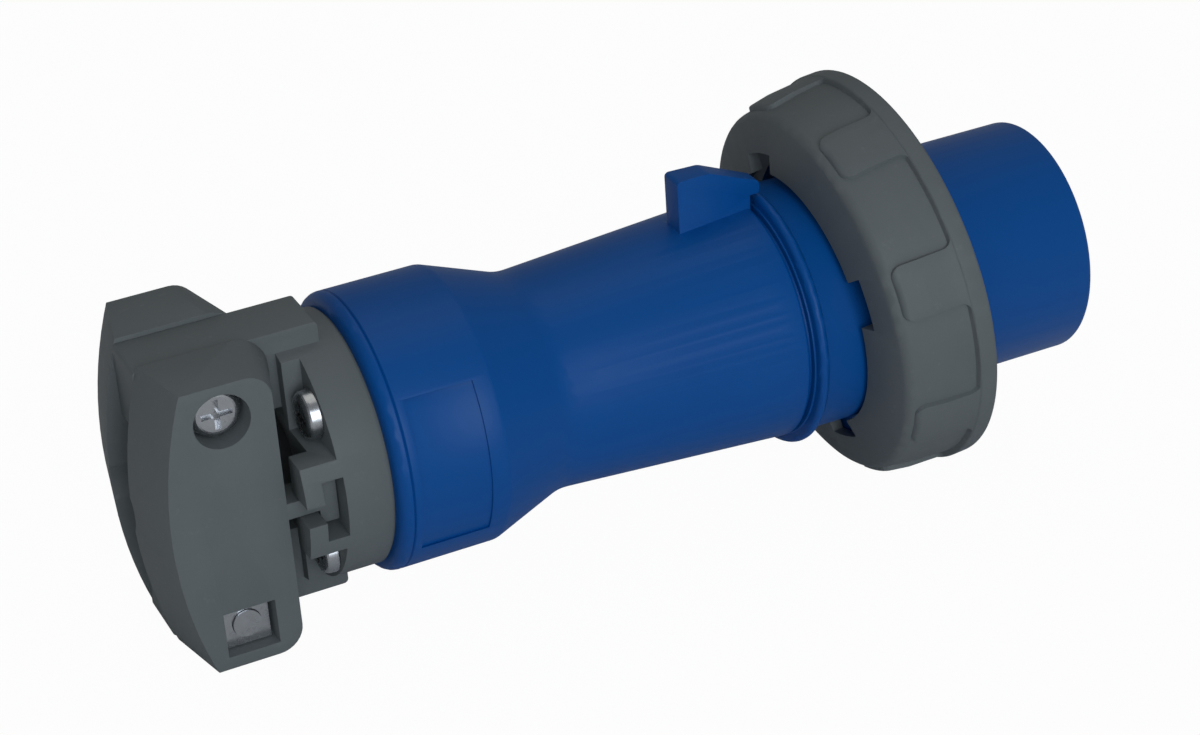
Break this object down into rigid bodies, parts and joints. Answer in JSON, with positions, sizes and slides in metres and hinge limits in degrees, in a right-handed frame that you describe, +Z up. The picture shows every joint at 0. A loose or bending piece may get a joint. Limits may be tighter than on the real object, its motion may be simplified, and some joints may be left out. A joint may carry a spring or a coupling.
{
  "type": "industrial_pin_and_sleeve_plug",
  "caption": "Industrial pin and sleeve plug with a blue moulded handle, a grey bayonet locking ring and a grey end cap with a two-bar cord clamp",
  "frame": {"origin": "Centre of the sleeve's front rim, on the plug axis", "axes": "+X out of the sleeve's mouth along the plug axis, +Z up through the lug on the handle, +Y across the cord clamp"},
  "size_m": [0.1789, 0.0748, 0.0746],
  "materials": {
    "blue_plastic": "semi-gloss moulded polyamide",
    "grey_plastic": "fine textured moulded polyamide",
    "plated_steel": "zinc plated",
    "rubber": "moulded rubber",
    "brass": "nickel-free turned brass",
    "insulator": "moulded insulator"
  },
  "bodies": {
    "frame": {"sleeve": "blue_plastic", "face_gasket": "rubber", "housing_o_ring": "rubber", "contact_carrier": "insulator", "line_pin": "brass", "neutral_pin": "brass", "earth_pin": "brass", "line_terminal_screw": "plated_steel", "neutral_terminal_screw": "plated_steel", "earth_terminal_screw": "plated_steel", "handle_housing": "blue_plastic", "cap_o_ring": "rubber", "gland_washer": "insulator", "cord_grommet": "rubber", "end_cap": "grey_plastic", "cap_insert_1": "brass", "cap_insert_2": "brass", "cap_insert_3": "brass", "cap_insert_4": "brass", "cap_screw_1": "plated_steel", "cap_screw_2": "plated_steel", "cap_screw_3": "plated_steel", "cap_screw_4": "plated_steel"},
    "ring": {"locking_ring": "grey_plastic"},
    "front_bar": {"front_clamp_bar": "grey_plastic", "front_clamp_screw": "plated_steel", "rear_clamp_nut": "plated_steel"},
    "rear_bar": {"rear_clamp_bar": "grey_plastic", "rear_clamp_screw": "plated_steel", "front_clamp_nut": "plated_steel"}
  },
  "joints": [
    {"name": "ring_turn", "type": "hinge", "parent": "frame", "child": "ring", "pos_m": [-0.03036, 0, 0.0027], "axis": [0.9946, 0, 0.1038], "continuous": true},
    {"name": "front_bar_slide", "type": "slide", "parent": "frame", "child": "front_bar", "axis": [0, -1, 0], "range_m": [0, 0.0025]},
    {"name": "rear_bar_slide", "type": "slide", "parent": "frame", "child": "rear_bar", "axis": [0, 1, 0], "range_m": [0, 0.0025]}
  ],
  "couplings": [
    {"joint": "rear_bar_slide", "follows": "front_bar_slide", "ratio": 1}
  ]
}
